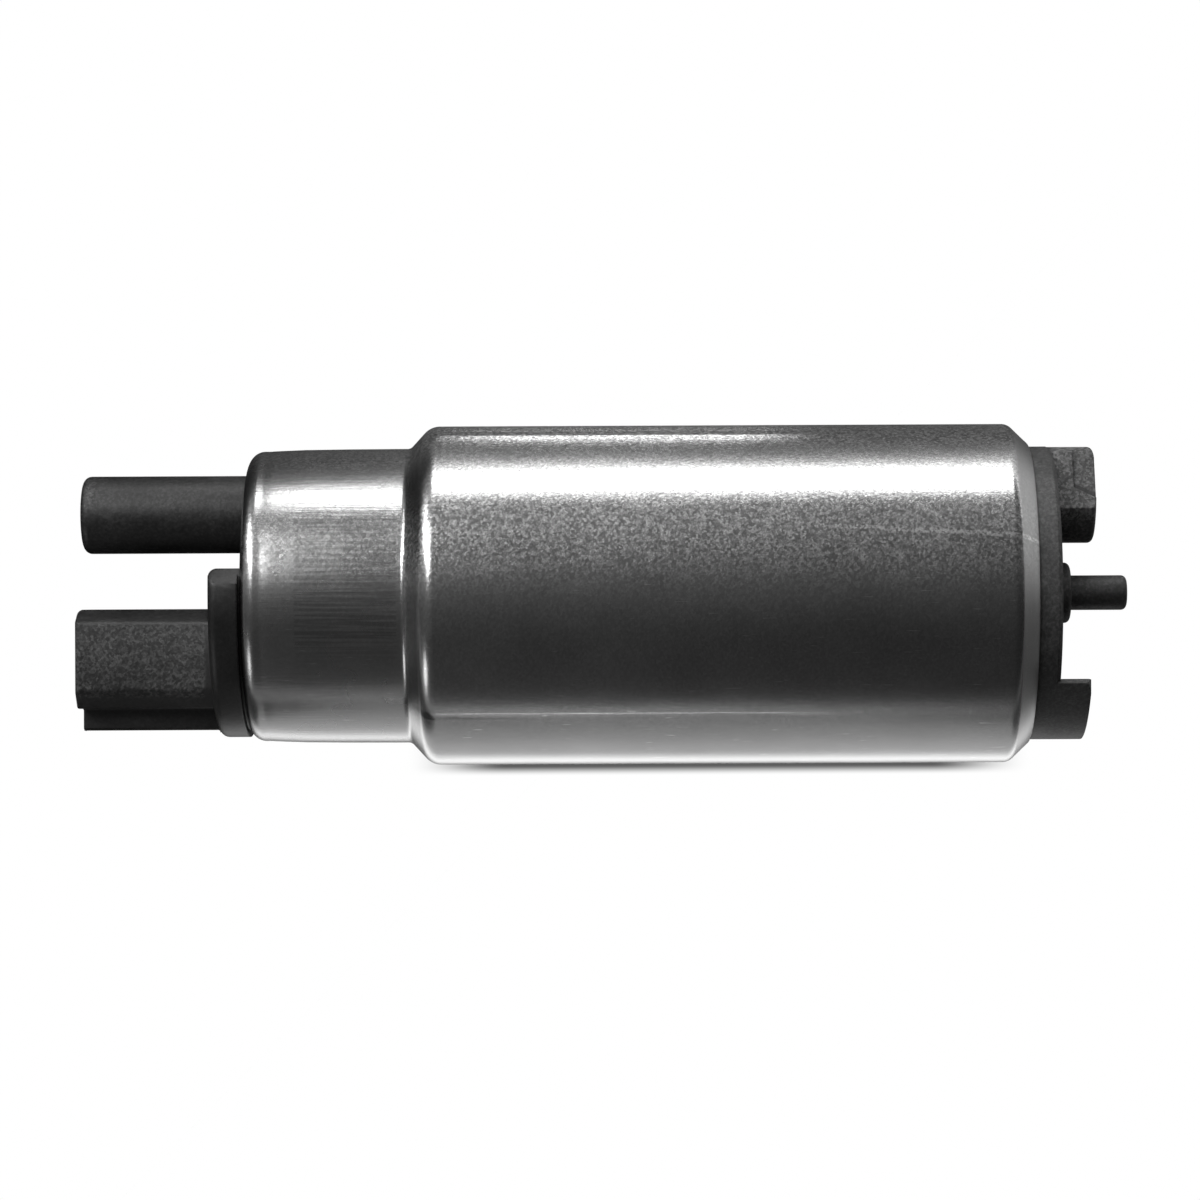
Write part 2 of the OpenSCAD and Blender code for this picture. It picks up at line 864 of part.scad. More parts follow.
// Braided lead through a brush spring
module brush_shunt(side) {
    color(copper_red)
        rod(x_spring0, x_brush_back, shunt_d / 2, z = side * brush_offset);
}

// Check valve poppet: nose, head and guide stem
module valve_poppet() {
    color(grey_plastic)
        union() {
            rod(x_washer0, x_seat + nose_reach, nose_r, y = nipple_offset);
            rod(x_head0, x_washer0, poppet_d / 2, y = nipple_offset);
            rod(x_retainer1 - stem_reach, x_head0, stem_r, y = nipple_offset);
        }
}

// Rubber washer that closes on the seat
module valve_seal() {
    color(rubber_black)
        pipe(x_washer0 + snug, x_seat - touch_gap, poppet_d / 2, nose_r + snug, y = nipple_offset);
}

// Spring that closes the check valve
module valve_spring() {
    color(steel)
        coil(x_retainer1, x_head0, valve_spring_r, valve_wire, valve_turns, nipple_offset, 0);
}

// Spoked cage pressed into the nipple
module valve_retainer() {
    ring_r = nipple_bore_r - snug;
    bore = stem_r + stem_gap;
    color(grey_plastic)
        translate([0, nipple_offset, 0])
            difference() {
                union() {
                    pipe(x_retainer0, x_retainer1, ring_r, ring_r - cage_wall);
                    rod(x_retainer0, x_retainer1, bore + cage_hub_wall);
                    for (i = [0:spokes - 1])
                        rotate([360 * i / spokes, 0, 0])
                            block(
                                [x_retainer0, 0, -spoke_w / 2],
                                [x_retainer1, ring_r - cage_wall / 2, spoke_w / 2]
                            );
                }
                rod(x_retainer0 - over, x_retainer1 + over, bore);
            }
}

// Steel tube that carries the magnets' flux
module flux_ring() {
    color(steel)
        pipe(x_ring0, x_housing0, flange_r, flux_r);
}

// Arc magnet on one side of the armature
module magnet(side) {
    color(ferrite)
        along(x_magnet0, x_magnet1)
            ring_sector(magnet_r, magnet_bore_r, side * 90, magnet_angle);
}

// Two spring clips that wedge the magnets apart
module magnet_clips() {
    free = 180 - magnet_angle - 1;
    leg_place = (free - clip_leg) / 2;
    color(steel)
        for (middle = [0, 180])
            along(x_magnet0 + clip_inset, x_magnet1 - clip_inset) {
                ring_sector(magnet_r, magnet_r - clip_t, middle, free);
                for (side = [1, -1])
                    ring_sector(magnet_r, magnet_bore_r + clip_t, middle + side * leg_place, clip_leg);
            }
}

// Rotor shaft with a flat for the impeller
module shaft() {
    color(steel)
        difference() {
            rod(x_shaft0, x_shaft1, shaft_r);
            block(
                [x_pump_bush1, shaft_r - flat_depth, -shaft_r - over],
                [x_shaft1 + over, shaft_r + over, shaft_r + over]
            );
        }
}

// Outline of one slot along +Y in Y and Z, drawn in by a clearance
module slot_outline(inset = 0) {
    half = 180 / slots;
    low = slot_root_r + inset;
    high = slot_top_r - inset;
    low_z = low * tan(half) - tooth_w / 2 / cos(half) - inset;
    high_z = high * tan(half) - tooth_w / 2 / cos(half) - inset;
    polygon([[low, -low_z], [high, -high_z], [high, high_z], [low, low_z]]);
}

// Outline of the slotted lamination
module lamination(r) {
    difference() {
        circle(r);
        circle(shaft_r + snug);
        for (i = [0:slots - 1])
            rotate(360 * i / slots) {
                slot_outline();
                translate([slot_top_r - winding_gap, -slot_mouth / 2])
                    square([tip_t + over, slot_mouth]);
            }
    }
}

// Stack of slotted laminations
module armature_core() {
    color(steel)
        along(x_core0, x_core1)
            lamination(core_r);
}

// Insulating plates on both ends of the core
module armature_insulators() {
    color(resin) {
        along(x_core0 - insulator_t, x_core0)
            lamination(core_r - insulator_inset);
        along(x_core1, x_core1 + insulator_t)
            lamination(core_r - insulator_inset);
    }
}

// Winding: a bundle in each slot and the turns round both ends
module armature_winding() {
    inner = slot_root_r - winding_cover;
    outer = slot_top_r - winding_gap;
    color(copper_red)
        union() {
            along(x_turns0 + end_turn_h / 2, x_turns1 - end_turn_h / 2)
                for (i = [0:slots - 1])
                    rotate(360 * i / slots)
                        slot_outline(winding_gap);
            translate([x_turns0, 0, 0])
                rotate([0, 90, 0])
                    rotate_extrude()
                        translate([inner, 0])
                            round_rect(outer - inner, end_turn_h, winding_round);
            translate([x_turns1 - end_turn_h, 0, 0])
                rotate([0, 90, 0])
                    rotate_extrude()
                        translate([inner, 0])
                            round_rect(outer - inner, end_turn_h, winding_round);
        }
}

// Moulded hub of the commutator
module commutator_hub() {
    x_back = x_commutator + bar_t + snug;
    color(resin)
        difference() {
            union() {
                rod(x_back, x_back + hub_len, commutator_r);
                rod(x_commutator + hub_sunk, x_back + over, hub_r);
            }
            rod(x_commutator - over, x_back + hub_len + over, shaft_r + snug);
        }
}

// Commutator bars, one for each slot
module commutator_segments() {
    color(copper_red)
        along(x_commutator, x_commutator + bar_t)
            difference() {
                circle(commutator_r);
                circle(hub_r + snug);
                for (i = [0:slots - 1])
                    rotate(360 * (i + 0.5) / slots)
                        translate([0, -bar_gap / 2])
                            square([2 * commutator_r, bar_gap]);
            }
}

// Turbine wheel: vane pockets round the rim and a bore that fits the shaft's flat
module impeller() {
    half = impeller_t / 2 + over;
    lean = vane_lean * half;
    w = pocket_w / 2;
    color(grey_plastic)
        translate([(x_impeller0 + x_impeller1) / 2, 0, 0])
            difference() {
                rod(-impeller_t / 2, impeller_t / 2, impeller_r);
                for (i = [0:vanes - 1])
                    rotate([360 * i / vanes, 0, 0])
                        translate([0, vane_r - vane_h / 2, 0])
                            rotate([-90, 0, 0])
                                linear_extrude(vane_h)
                                    polygon([
                                        [-half, -w - lean], [-half, w - lean], [0, w],
                                        [half, w - lean], [half, -w - lean], [0, -w]
                                    ]);
                for (a = [45:90:315])
                    rotate([a, 0, 0])
                        rod(-half, half, balance_r, y = balance_place);
                difference() {
                    rod(-half, half, shaft_r + bush_gap);
                    block(
                        [-2 * half, shaft_r - flat_depth + bush_gap, -shaft_d],
                        [2 * half, shaft_d, shaft_d]
                    );
                }
            }
}

// Side channel cut into the face at a place
module side_channel(x) {
    turned_part(0, channel_angle)
        translate([vane_r, x])
            circle(channel_r);
}

// Die-cast housing: impeller chamber, side channel, outlet port and bearing seat
module pump_housing() {
    relief_in = bearing_boss_r + bearing_wall;
    relief_out = flange_r - housing_wall;
    color(die_cast)
        difference() {
            rod(x_housing0 + snug, x_pump_face - snug, flange_r);
            rod(x_chamber, x_pump_face + over, chamber_r);
            pipe(x_housing0 - over, x_chamber - housing_floor, relief_out, relief_in);
            rod(x_housing0 - over, x_pump_bush1, bush_r + snug);
            rod(x_pump_bush1 - over, x_chamber + over, shaft_r + shaft_room);
            side_channel(x_chamber);
            rotate([channel_angle, 0, 0])
                rod(x_housing0 - over, x_chamber + over, port_r, y = vane_r);
        }
}

// Sintered bush between two places
module bush(x0, x1) {
    color(bronze)
        pipe(x0, x1, bush_r, shaft_r + bush_gap);
}

// End stop that takes the shaft's thrust
module thrust_button() {
    color(steel)
        rod(x_shaft1 + thrust_gap, x_thrust1, thrust_r);
}

// Moulded inlet cover: side channel, inlet boss, centre post and lug
module inlet_cover() {
    color(black_plastic)
        difference() {
            union() {
                cover_disc();
                inlet_boss();
                centre_post();
                inlet_lug();
            }
            rod(x_pump_face - over, x_thrust1 + snug, thrust_r + snug);
            side_channel(x_pump_face);
            rod(x_inlet_floor, x_boss + over, inlet_r, y = boss_offset);
            turned_part(-port_angle / 3, port_angle)
                translate([vane_r - port_r, x_pump_face - over])
                    square([2 * port_r, x_inlet_floor - x_pump_face + 2 * over]);
            rotate([vent_angle, 0, 0])
                rod(x_pump_face, x_disc + over, vent_d / 2, y = vane_r);
        }
}

// Body of the inlet cover, shouldered under the crimp, with its seal groove
module cover_disc() {
    turned()
        polygon([
            [0, x_pump_face],
            [flange_r, x_pump_face],
            [flange_r, x_inlet_groove0],
            [seal_groove_r(bore_r), x_inlet_groove0],
            [seal_groove_r(bore_r), x_inlet_groove0 + groove_w],
            [flange_r, x_inlet_groove0 + groove_w],
            [flange_r, x_flange1],
            [disc_r, x_flange1 + flange_r - disc_r],
            [disc_r, x_disc - disc_edge],
            [disc_r - disc_edge, x_disc],
            [0, x_disc]
        ]);
}

// Outline of the notch along X, from its root and flared towards the rim
module notch_outline() {
    reach = notch_len + over;
    half = notch_w / 2;
    mouth = half + notch_corner + notch_flare * reach;
    polygon([
        [0, -half], [notch_corner, -half - notch_corner], [reach, -mouth],
        [reach, mouth], [notch_corner, half + notch_corner], [0, half]
    ]);
}

// Round boss of the inlet, with a notch in its rim
module inlet_boss() {
    translate([0, boss_offset, 0])
        difference() {
            turned()
                polygon(concat(
                    [[0, x_disc - over], [boss_r, x_disc - over]],
                    arc_points(boss_r - end_round, x_boss - end_round, end_round, 90, 0),
                    [[0, x_boss]]
                ));
            rotate([notch_angle, 0, 0])
                translate([x_boss - notch_len, boss_r - notch_depth, 0])
                    rotate([-90, 0, 0])
                        linear_extrude(2 * notch_depth)
                            notch_outline();
        }
}

// Centre post with its rounded collar
module centre_post() {
    turned()
        polygon(concat(
            [[0, x_disc - over], [collar_r, x_disc - over]],
            arc_points(collar_r - end_round, x_disc + collar_h - end_round, end_round, 90, 0),
            [[post_r, x_disc + collar_h]],
            arc_points(post_r - end_round, x_post - end_round, end_round, 90, 0),
            [[0, x_post]]
        ));
}

// Curved lug at the disc's lower edge
module inlet_lug() {
    half_z = disc_r * sin(min(lug_angle / 2, 90));
    intersection() {
        along(x_disc - over, x_lug)
            ring_sector(disc_r, disc_r - lug_wall, 180, lug_angle);
        translate([x_lug, 0, -half_z])
            rotate([0, 0, 180])
                translate([0, -over, 0])
                    rotate([90, 0, 0])
                        mirror([0, 0, 1])
                            linear_extrude(2 * disc_r)
                                round_rect(4 * lug_h, 2 * half_z, lug_round);
    }
}

// Rubber seal in a groove
module seal(bore, x) {
    color(rubber_black)
        turned()
            translate([bore - seal_gap - seal_d / 2, x])
                circle(seal_d / 2);
}

case();
outlet_cover();
inlet_cover();
seal(neck_bore_r, x_outlet_groove0 + groove_w / 2);  // outlet_o_ring
brush_holder();
bush(x_bush0, x_bush1);  // outlet_bearing
terminal(1);  // terminal_positive
terminal(-1);  // terminal_negative
choke_core(1);  // choke_core_positive
choke_core(-1);  // choke_core_negative
choke_coil(1);  // choke_coil_positive
choke_coil(-1);  // choke_coil_negative
brush_guide(1);  // brush_guide_positive
brush_guide(-1);  // brush_guide_negative
brush(1);  // brush_positive
brush(-1);  // brush_negative
brush_spring(1);  // brush_spring_positive
brush_spring(-1);  // brush_spring_negative
brush_shunt(1);  // brush_shunt_positive
brush_shunt(-1);  // brush_shunt_negative
valve_poppet();
valve_seal();
valve_spring();
valve_retainer();
flux_ring();
magnet(1);  // magnet_upper
magnet(-1);  // magnet_lower
magnet_clips();
shaft();
armature_core();
armature_insulators();
armature_winding();
commutator_hub();
commutator_segments();
impeller();
pump_housing();
bush(x_pump_bush0, x_pump_bush1);  // pump_bearing
thrust_button();
seal(bore_r, x_inlet_groove0 + groove_w / 2);  // inlet_o_ring
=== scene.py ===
"""An in-tank electric fuel pump lying on a pale table, seen from straight above."""

import json
import math

import bmesh
import bpy
import numpy as np
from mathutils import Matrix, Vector


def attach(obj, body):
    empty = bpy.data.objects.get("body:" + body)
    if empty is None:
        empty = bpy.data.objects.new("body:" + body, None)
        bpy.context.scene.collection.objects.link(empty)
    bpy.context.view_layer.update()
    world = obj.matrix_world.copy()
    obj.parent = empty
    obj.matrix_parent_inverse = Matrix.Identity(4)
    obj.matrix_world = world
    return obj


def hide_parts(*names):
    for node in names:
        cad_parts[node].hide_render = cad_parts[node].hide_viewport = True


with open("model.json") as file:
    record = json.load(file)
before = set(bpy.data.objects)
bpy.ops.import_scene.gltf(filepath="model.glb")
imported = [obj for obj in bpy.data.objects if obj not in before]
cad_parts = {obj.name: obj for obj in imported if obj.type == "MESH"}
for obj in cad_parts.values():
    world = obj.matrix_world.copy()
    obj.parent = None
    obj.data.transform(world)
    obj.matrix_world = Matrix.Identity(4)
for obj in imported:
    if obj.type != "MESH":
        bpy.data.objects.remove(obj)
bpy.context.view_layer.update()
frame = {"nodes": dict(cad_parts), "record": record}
NODES = frame["nodes"]

FLOOR_Z = -0.0191

# The inlet boss's axis, and the lean of the flat on its side from straight up
BOSS_Y = 0.011
BOSS_TILT = 22.0


class Mat:
    """A material being built from nodes, in the object's own coordinates in metres."""

    def __init__(self, name):
        self.mat = bpy.data.materials.new(name)
        self.mat.use_nodes = True
        self.tree = self.mat.node_tree
        self.tree.nodes.clear()
        self.out = self.node("ShaderNodeOutputMaterial")
        self.bsdf = self.node("ShaderNodeBsdfPrincipled")
        self.link(self.bsdf.outputs[0], self.out.inputs[0])
        self.coords = self.node("ShaderNodeTexCoord").outputs["Object"]
        split = self.node("ShaderNodeSeparateXYZ")
        self.link(self.coords, split.inputs[0])
        self.x, self.y, self.z = split.outputs

    def node(self, kind, **values):
        """Adds a node and sets its properties."""
        n = self.tree.nodes.new(kind)
        for k, v in values.items():
            setattr(n, k, v)
        return n

    def link(self, a, b):
        """Links an output to an input."""
        self.tree.links.new(a, b)

    def put(self, socket, value):
        """Links a socket, or sets its value."""
        if isinstance(value, bpy.types.NodeSocket):
            self.link(value, socket)
        else:
            socket.default_value = value

    def set(self, **values):
        """Sets inputs of the main shader, by name with underscores for spaces."""
        for k, v in values.items():
            self.put(self.bsdf.inputs[k.replace("_", " ")], v)

    def math(self, op, a, b=0.0, c=0.0):
        """One step of arithmetic."""
        n = self.node("ShaderNodeMath", operation=op)
        for socket, v in zip(n.inputs, (a, b, c)):
            self.put(socket, v)
        return n.outputs[0]

    def times(self, first, *others):
        """The product of its values."""
        for other in others:
            first = self.math("MULTIPLY", first, other)
        return first

    def scaled(self, scale, offset=(0, 0, 0)):
        """The coordinates stretched by a scale on each axis."""
        n = self.node("ShaderNodeMapping")
        self.link(self.coords, n.inputs[0])
        n.inputs["Location"].default_value = offset
        n.inputs["Scale"].default_value = scale
        return n.outputs[0]

    def noise(self, scale, stretch=(1, 1, 1), detail=2.0, rough=0.5, offset=(0, 0, 0)):
        """Noise with so many cells a metre, times the stretch on each axis."""
        n = self.node("ShaderNodeTexNoise")
        self.link(self.scaled(stretch, offset), n.inputs["Vector"])
        n.inputs["Scale"].default_value = scale
        n.inputs["Detail"].default_value = detail
        n.inputs["Roughness"].default_value = rough
        return n.outputs[0]

    def cells(self, scale, offset=(0, 0, 0)):
        """A random value for each of the cells that space is broken into."""
        n = self.node("ShaderNodeTexVoronoi", feature="F1")
        self.link(self.scaled((1, 1, 1), offset), n.inputs["Vector"])
        n.inputs["Scale"].default_value = scale
        return n.outputs["Color"]

    def ramp(self, value, low, high, to_low=0.0, to_high=1.0, smooth=True):
        """Value from low..high to to_low..to_high, held at both ends."""
        n = self.node("ShaderNodeMapRange", interpolation_type="SMOOTHSTEP" if smooth else "LINEAR")
        for socket, v in zip(n.inputs, (value, low, high, to_low, to_high)):
            self.put(socket, v)
        return n.outputs[0]

    def band(self, value, low, high, edge):
        """1 between low and high, 0 outside."""
        up = self.ramp(value, low - edge, low + edge)
        down = self.ramp(value, high - edge, high + edge, 1.0, 0.0)
        return self.times(up, down)

    def blend(self, factor, a, b):
        """a where factor is 0, b where it is 1."""
        n = self.node("ShaderNodeMix", data_type="FLOAT")
        for socket, v in zip((n.inputs[0], n.inputs[2], n.inputs[3]), (factor, a, b)):
            self.put(socket, v)
        return n.outputs[0]

    def colour(self, factor, a, b):
        """Colour a where factor is 0, b where it is 1."""
        n = self.node("ShaderNodeMix", data_type="RGBA")
        self.put(n.inputs["Factor"], factor)
        for socket, v in zip((n.inputs[6], n.inputs[7]), (a, b)):
            self.put(socket, (*v, 1.0))
        return n.outputs[2]

    def grey(self, value):
        """The grey of a value."""
        n = self.node("ShaderNodeCombineColor")
        for socket in n.inputs:
            self.link(value, socket)
        return n.outputs[0]

    def bump(self, height, distance, strength=1.0, onto=None):
        """A normal bent by a height, onto another normal if one is given."""
        n = self.node("ShaderNodeBump")
        self.put(n.inputs["Strength"], strength)
        self.put(n.inputs["Distance"], distance)
        self.put(n.inputs["Height"], height)
        if onto is not None:
            self.link(onto, n.inputs["Normal"])
        return n.outputs[0]


# The can's parts along X
NECK_END = (-0.0352, -0.0350)
SHOULDER_FOOT = (-0.0347, -0.0335)
BARREL = (-0.0322, 0.0321)
CRIMP_START = (0.0319, 0.0323)

# The can's marks by their angle from the top, towards the nipple's side where positive
# The lit side, where the speckle is painted stronger
LIT_SIDE_SPECKLE = (-0.04, 0.30)
# The band where the window's highlight falls, where the speckle is faded
HIGHLIGHT_BAND = (0.58, 1.05)
UPPER_CREASE = (1.185, 1.27)
LOWER_CREASE = (-0.800, -0.745)
SCRATCH_GLINT = (0.420, 0.446)


def can_steel():
    """Drawn steel of the can: satin barrel, brushed neck and a rolled edge at both ends."""
    m = Mat("can_steel")
    barrel = m.band(m.x, *BARREL, 0.0004)
    neck = m.ramp(m.x, *NECK_END, 1.0, 0.0)
    crimp = m.ramp(m.x, *CRIMP_START)
    around = m.math("ARCTAN2", m.y, m.z)

    grain = m.noise(2800, detail=1.0, rough=0.6)
    pits = m.noise(6200, detail=1.5, rough=0.6, offset=(3, 1, 7))
    wave = m.noise(160, stretch=(0.6, 1, 1), detail=2.0, offset=(9, 4, 2))
    lines = m.noise(1.0, stretch=(90, 3600, 3600), detail=3.0, rough=0.65)
    fine = m.noise(1.0, stretch=(240, 7000, 7000), detail=2.0, offset=(5, 5, 5))
    scored = m.noise(1.0, stretch=(420, 5600, 5600), detail=1.0, offset=(1, 9, 4))
    smudge = m.noise(110, detail=3.0, rough=0.6, offset=(2, 8, 3))
    tone = m.blend(smudge, 0.52, 0.66)

    # A speckle of fine and finer cells, painted stronger on the lit side and fainter on the shaded
    # underside, fainter on the crimp, and faded where the window's highlight falls
    lit_side = m.ramp(around, *LIT_SIDE_SPECKLE)
    flecks = m.ramp(m.cells(3500), 0.2, 0.8, 0.56, 1.36, smooth=False)
    flakes = m.ramp(m.cells(6500, offset=(4, 4, 1)), 0.2, 0.8, 0.8, 1.2)
    strength = m.math("ADD", m.ramp(around, -1.4, 0.3, 0.0, 0.25), m.times(lit_side, 0.75))
    strength = m.times(strength, m.blend(crimp, m.blend(neck, 1.0, 0.6), 0.2))
    strength = m.times(strength, m.blend(m.band(around, *HIGHLIGHT_BAND, 0.09), 1.0, 0.35))
    tone = m.times(tone, m.blend(strength, 1.0, m.times(flecks, flakes)))

    # A brushed patch on the neck, and long fine scores everywhere
    brushed = m.times(m.band(m.x, -0.0469, -0.0358, 0.0001), m.band(m.y, -0.006, 0.011, 0.002))
    tone = m.times(tone, m.blend(brushed, 1.0, m.ramp(lines, 0.42, 0.6, 0.8, 1.1)))
    tone = m.times(tone, m.ramp(scored, 0.73, 0.79, 1.0, 1.5))

    # A slanted scratch near the crimp, painted brighter as the glint it catches, and painted shade in
    # the shoulder's foot
    slanted = m.math("MULTIPLY_ADD", m.x, 3.0, around)
    glinting_scratch = m.times(m.band(slanted, *SCRATCH_GLINT, 0.007), m.band(m.x, 0.016, 0.0316, 0.010))
    tone = m.times(tone, m.blend(m.times(glinting_scratch, m.ramp(grain, 0.3, 0.55)), 1.0, 2.3))
    tone = m.times(tone, m.blend(neck, 1.0, 0.9))
    # Painted shade in the crease at the shoulder's foot
    tone = m.times(tone, m.blend(m.band(m.x, *SHOULDER_FOOT, 0.0002), 1.0, 0.7))
    m.set(Metallic=1.0, Base_Color=m.grey(tone))

    # Two smooth creases along the barrel
    creases = m.math("ADD", m.band(around, *UPPER_CREASE, 0.01), m.band(around, *LOWER_CREASE, 0.006))
    creases = m.times(creases, m.band(m.x, -0.033, 0.010, 0.006))
    rough = m.blend(neck, m.blend(smudge, 0.22, 0.28), m.blend(smudge, 0.23, 0.31))
    rough = m.blend(crimp, rough, 0.32)
    m.set(Roughness=m.blend(creases, rough, 0.09))

    depth = m.times(m.blend(lit_side, 0.5, 1.0), m.blend(creases, 1.0, 0.3))
    depth = m.times(depth, m.blend(barrel, 0.35, 0.9))
    n = m.bump(wave, 0.00012, 0.3)
    n = m.bump(grain, 0.000011, depth, n)
    n = m.bump(pits, 0.000009, depth, n)
    n = m.bump(lines, 0.00002, m.blend(neck, 0.06, 0.7), n)
    n = m.bump(fine, 0.000008, m.blend(neck, 0.2, 0.6), n)
    m.set(Normal=n)
    return m.mat


def moulded(name, tone, rough, frost_sheen_and_shade, frosted_tone):
    """Moulded black plastic. The mask function given is 1 where the mould was eroded, for a coarser
    grain; it also carries a painted highlight on the nipple's tip and, below 0, a painted shade in the
    inlet boss's notch.
    """
    m = Mat(name)
    frost = frost_sheen_and_shade(m)
    fine = m.noise(2900, detail=3.0, rough=0.65)
    coarse = m.noise(900, detail=2.0, rough=0.6, offset=(6, 2, 9))
    broad = m.noise(240, detail=3.0, offset=(4, 2, 6))
    specks = m.cells(3900, offset=(8, 8, 1))
    shade = m.times(m.blend(frost, tone, frosted_tone), m.ramp(broad, 0.3, 0.7, 0.75, 1.25))
    low, high = m.blend(frost, 0.8, 0.6), m.blend(frost, 1.25, 1.4)
    shade = m.times(shade, m.ramp(fine, 0.38, 0.64, low, high))
    low, high = m.blend(frost, 0.85, 0.4), m.blend(frost, 1.15, 2.1)
    shade = m.times(shade, m.ramp(specks, 0.3, 0.75, low, high))
    m.set(Base_Color=m.grey(shade), Specular_IOR_Level=0.7)
    wear_and_painted_sheen = m.blend(broad, rough - 0.08, rough + 0.08)
    m.set(Roughness=m.math("ADD", wear_and_painted_sheen, m.blend(frost, 0.0, 0.12)))

    edge = m.node("ShaderNodeBevel", samples=4)
    edge.inputs["Radius"].default_value = 0.0003
    n = m.bump(broad, 0.00008, 0.5, edge.outputs[0])
    n = m.bump(coarse, 0.00010, m.blend(frost, 0.25, 0.8), n)
    m.set(Normal=m.bump(fine, 0.00003, m.blend(frost, 0.3, 1.0), n))
    return m.mat


def outlet_frost_and_tip_sheen(m):
    """The connector housing's sides are eroded, and a patch on the nipple's tip is painted lighter as a
    highlight.
    """
    top = m.band(m.y, -0.0112, -0.0030, 0.0002)
    housing = m.ramp(m.x, -0.0578, -0.0574, 1.0, 0.0)
    housing = m.times(housing, m.ramp(top, 0.0, 1.0, 0.15, 0.85))
    # Painted highlight: a lighter patch on the nipple's tip, through the frost mask
    wear_and_painted_sheen = m.times(m.band(m.x, -0.0713, -0.0702, 0.0008), m.band(m.y, 0.0100, 0.0128, 0.0010))
    return m.blend(m.ramp(m.y, 0.003, 0.004), housing, m.blend(wear_and_painted_sheen, 0.26, 1.0))


def inlet_frost_and_notch_shade(m):
    """The boss is eroded, and the disc and the lug are smoother; a painted shade darkens the lower wall
    of the boss's notch.
    """
    boss = m.times(m.ramp(m.x, 0.0367, 0.0370), m.ramp(m.y, 0.005, 0.006))
    frost = m.math("MULTIPLY_ADD", boss, 0.34, 0.14)
    # Painted shade: a dark line along the lower wall of the boss's notch, in the boss's tilted frame
    sine, cosine = math.sin(math.radians(BOSS_TILT)), math.cos(math.radians(BOSS_TILT))
    above = m.math("SUBTRACT", m.y, BOSS_Y)
    across = m.math("SUBTRACT", m.times(above, cosine), m.times(m.z, sine))
    out = m.math("ADD", m.times(above, sine), m.times(m.z, cosine))
    wall = m.math("ADD", across, m.math("MULTIPLY_ADD", m.x, 0.5, -0.01865))
    painted_notch_shade = m.times(m.band(wall, -0.0002, 0.0006, 0.0003), m.ramp(m.x, 0.0389, 0.0391))
    painted_notch_shade = m.times(painted_notch_shade, m.band(out, 0.0036, 0.00415, 0.00004))
    return m.blend(painted_notch_shade, frost, -0.28)


def metal(name, colour, rough, scale=1800, stretch=(1, 1, 1), depth=0.00001):
    """Plain or plated metal with fine tooling marks."""
    m = Mat(name)
    fine = m.noise(scale, stretch=stretch, detail=3.0, rough=0.6)
    broad = m.noise(220, detail=2.0, offset=(7, 3, 1))
    low = [c * 0.82 for c in colour]
    high = [min(1.0, c * 1.1) for c in colour]
    m.set(Base_Color=m.colour(broad, low, high), Metallic=1.0)
    m.set(Roughness=m.blend(fine, rough - 0.06, rough + 0.1))
    m.set(Normal=m.bump(fine, depth, 0.7))
    return m.mat


def dull(name, colour, rough):
    """Ferrite, carbon, rubber, resin and moulded nylon."""
    m = Mat(name)
    fine = m.noise(1500, detail=4.0, rough=0.65)
    broad = m.noise(200, detail=2.0, offset=(1, 6, 2))
    low = [c * 0.75 for c in colour]
    high = [min(1.0, c * 1.2) for c in colour]
    m.set(Base_Color=m.colour(broad, low, high))
    m.set(Roughness=m.blend(fine, rough - 0.08, rough + 0.1))
    m.set(Normal=m.bump(fine, 0.00002, 0.8))
    return m.mat


STEEL = can_steel()
OUTLET_BLACK = moulded("outlet_black", 0.011, 0.45, outlet_frost_and_tip_sheen, 0.029)
INLET_BLACK = moulded("inlet_black", 0.026, 0.58, inlet_frost_and_notch_shade, 0.115)

SLOT_MATERIALS = {
    "steel": STEEL,
    "black_plastic": OUTLET_BLACK,
    "grey_plastic": dull("grey_nylon", (0.3, 0.3, 0.29), 0.5),
    "rubber": dull("rubber", (0.03, 0.03, 0.03), 0.6),
    "bronze": metal("sintered_bronze", (0.5, 0.36, 0.2), 0.5, 4000, depth=0.00002),
    "brass": metal("brass", (0.78, 0.62, 0.32), 0.3, 1.0, (150, 4000, 4000)),
    "ferrite": dull("ferrite", (0.09, 0.09, 0.1), 0.55),
    "copper": metal("copper", (0.72, 0.4, 0.22), 0.32),
    "carbon": dull("carbon", (0.06, 0.06, 0.065), 0.5),
    "spring_steel": metal("spring_steel", (0.55, 0.55, 0.54), 0.28),
    "plain_steel": metal("plated_steel", (0.5, 0.5, 0.5), 0.36),
    "lamination": metal("lamination", (0.3, 0.3, 0.31), 0.5, 1.0, (2600, 40, 40), 0.00003),
    "resin": dull("resin", (0.25, 0.09, 0.04), 0.45),
    "die_cast": metal("die_cast", (0.65, 0.65, 0.67), 0.45, 1400, depth=0.00003),
}
for part in frame["record"]["subparts"]:
    obj = NODES[part["node"]]
    obj.data.materials.clear()
    obj.data.materials.append(SLOT_MATERIALS[part["material_slot"]])
NODES["inlet_cover"].data.materials[0] = INLET_BLACK


def add(name, data):
    """A new object in the scene."""
    obj = bpy.data.objects.new(name, data)
    bpy.context.scene.collection.objects.link(obj)
    return obj


def settle(obj):
    """Applies an object's modifiers."""
    deps = bpy.context.evaluated_depsgraph_get()
    mesh = bpy.data.meshes.new_from_object(obj.evaluated_get(deps))
    obj.modifiers.clear()
    obj.data = mesh


